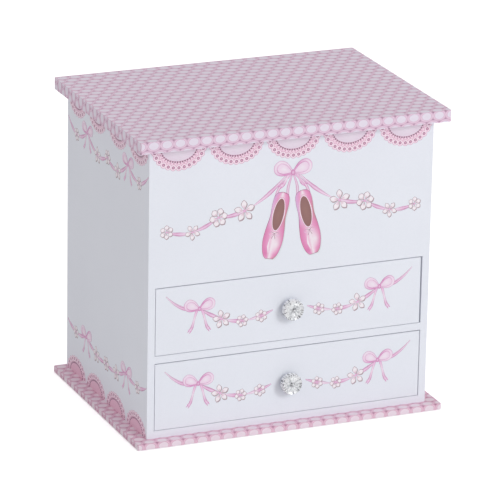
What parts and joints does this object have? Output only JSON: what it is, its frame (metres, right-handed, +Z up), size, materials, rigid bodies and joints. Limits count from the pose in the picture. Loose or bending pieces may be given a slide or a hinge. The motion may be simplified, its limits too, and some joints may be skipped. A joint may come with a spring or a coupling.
{
  "type": "musical ballerina jewellery box",
  "caption": "Paper-wrapped jewellery box with a hinged mirrored lid, inset drawers with round knobs, and a wind-up music movement that turns a dancer in the top compartment.",
  "frame": {"origin": "underside of the felt, below the centre of the case's own outline", "axes": "+Z up, -Y out of the drawer fronts, +X to the right seen from the front"},
  "size_m": [0.218, 0.1755, 0.2095],
  "materials": {
    "felt": "thin felt",
    "pink_paper": "board wrapped in printed pink paper",
    "white_paper": "board wrapped in printed white paper",
    "drawer_paper": "board wrapped in printed white paper",
    "drawer_wood": "thin board wrapped in white paper",
    "pink_velvet": "short-pile velvet on card",
    "velvet_rolls": "short-pile velvet over foam",
    "mirror": "silvered glass",
    "hinge_brass": "satin",
    "clear_plastic": "clear faceted plastic",
    "knob_silver": "polished",
    "screw_steel": "zinc plated",
    "movement_brass": "machined",
    "movement_steel": "machined",
    "comb_steel": "ground",
    "dancer_plastic": "painted",
    "tulle": "stiff net"
  },
  "bodies": {
    "case": {"base_felt": "felt", "base_plinth": "pink_paper", "bottom_board": "white_paper", "left_side": "white_paper", "right_side": "white_paper", "back_panel": "white_paper", "front_panel": "white_paper", "drawer_divider": "white_paper", "upper_shelf": "white_paper", "compartment_lining": "pink_velvet", "stage_walls": "pink_velvet", "stage_top": "pink_velvet", "ring_shelf": "pink_velvet", "ring_rolls": "velvet_rolls", "left_hinge_case_leaf": "hinge_brass", "right_hinge_case_leaf": "hinge_brass", "hinge_pins": "hinge_brass", "hinge_case_screws": "hinge_brass", "movement_bedplate": "movement_brass", "movement_screws": "screw_steel", "spring_barrel": "movement_brass", "mainspring": "movement_steel", "cylinder_bearings": "movement_brass", "music_comb": "comb_steel", "governor_frame": "movement_steel", "spindle_bracket": "movement_steel"},
    "lid": {"lid_board": "pink_paper", "lid_lining": "pink_velvet", "mirror_glass": "mirror", "left_hinge_lid_leaf": "hinge_brass", "right_hinge_lid_leaf": "hinge_brass", "hinge_lid_screws": "hinge_brass"},
    "upper_drawer": {"upper_drawer_front": "drawer_paper", "upper_drawer_left": "drawer_wood", "upper_drawer_right": "drawer_wood", "upper_drawer_back": "drawer_wood", "upper_drawer_base": "drawer_wood", "upper_drawer_lining": "pink_velvet", "upper_knob": "clear_plastic", "upper_knob_base": "knob_silver", "upper_knob_screw": "screw_steel"},
    "lower_drawer": {"lower_drawer_front": "drawer_paper", "lower_drawer_left": "drawer_wood", "lower_drawer_right": "drawer_wood", "lower_drawer_back": "drawer_wood", "lower_drawer_base": "drawer_wood", "lower_drawer_lining": "pink_velvet", "lower_knob": "clear_plastic", "lower_knob_base": "knob_silver", "lower_knob_screw": "screw_steel"},
    "key": {"winding_arbor": "movement_steel", "main_wheel": "movement_brass", "winding_key": "movement_steel"},
    "cylinder": {"music_cylinder": "movement_brass"},
    "governor": {"governor_wheel": "movement_brass"},
    "fan": {"governor_fan": "movement_steel"},
    "dancer": {"ballerina_spindle": "movement_steel", "ballerina": "dancer_plastic", "tutu": "tulle"},
    "stop": {"stop_pin": "movement_steel"}
  },
  "joints": [
    {"name": "lid_hinge", "type": "hinge", "parent": "case", "child": "lid", "pos_m": [0, 0.076, 0.20155], "axis": [-1, 0, 0], "range_deg": [0, 98]},
    {"name": "upper_drawer_slide", "type": "slide", "parent": "case", "child": "upper_drawer", "axis": [0, -1, 0], "range_m": [0, 0.115]},
    {"name": "lower_drawer_slide", "type": "slide", "parent": "case", "child": "lower_drawer", "axis": [0, -1, 0], "range_m": [0, 0.115]},
    {"name": "cylinder_spin", "type": "hinge", "parent": "case", "child": "cylinder", "pos_m": [0, 0.04595, 0.134], "axis": [1, 0, 0], "continuous": true},
    {"name": "key_turn", "type": "hinge", "parent": "case", "child": "key", "pos_m": [-0.023, 0.06, 0.134], "axis": [0, 1, 0], "continuous": true},
    {"name": "dancer_spin", "type": "hinge", "parent": "case", "child": "dancer", "pos_m": [0, 0.04595, 0.15], "axis": [0, 0, 1], "continuous": true},
    {"name": "governor_wheel_spin", "type": "hinge", "parent": "case", "child": "governor", "pos_m": [0.0136, 0.05426, 0.1292], "axis": [1, 0, 0], "continuous": true},
    {"name": "fan_spin", "type": "hinge", "parent": "case", "child": "fan", "pos_m": [0.0165, 0.06196, 0.134], "axis": [0, 0, 1], "continuous": true},
    {"name": "stop_pin_lift", "type": "slide", "parent": "case", "child": "stop", "axis": [0, 0, 1], "range_m": [0, 0.0041]}
  ],
  "couplings": [
    {"joint": "key_turn", "follows": "cylinder_spin", "ratio": -0.5},
    {"joint": "dancer_spin", "follows": "cylinder_spin", "ratio": -0.47059},
    {"joint": "governor_wheel_spin", "follows": "cylinder_spin", "ratio": -2},
    {"joint": "fan_spin", "follows": "cylinder_spin", "ratio": -60},
    {"joint": "stop_pin_lift", "follows": "lid_hinge", "m_per_rad": 0.002338}
  ]
}
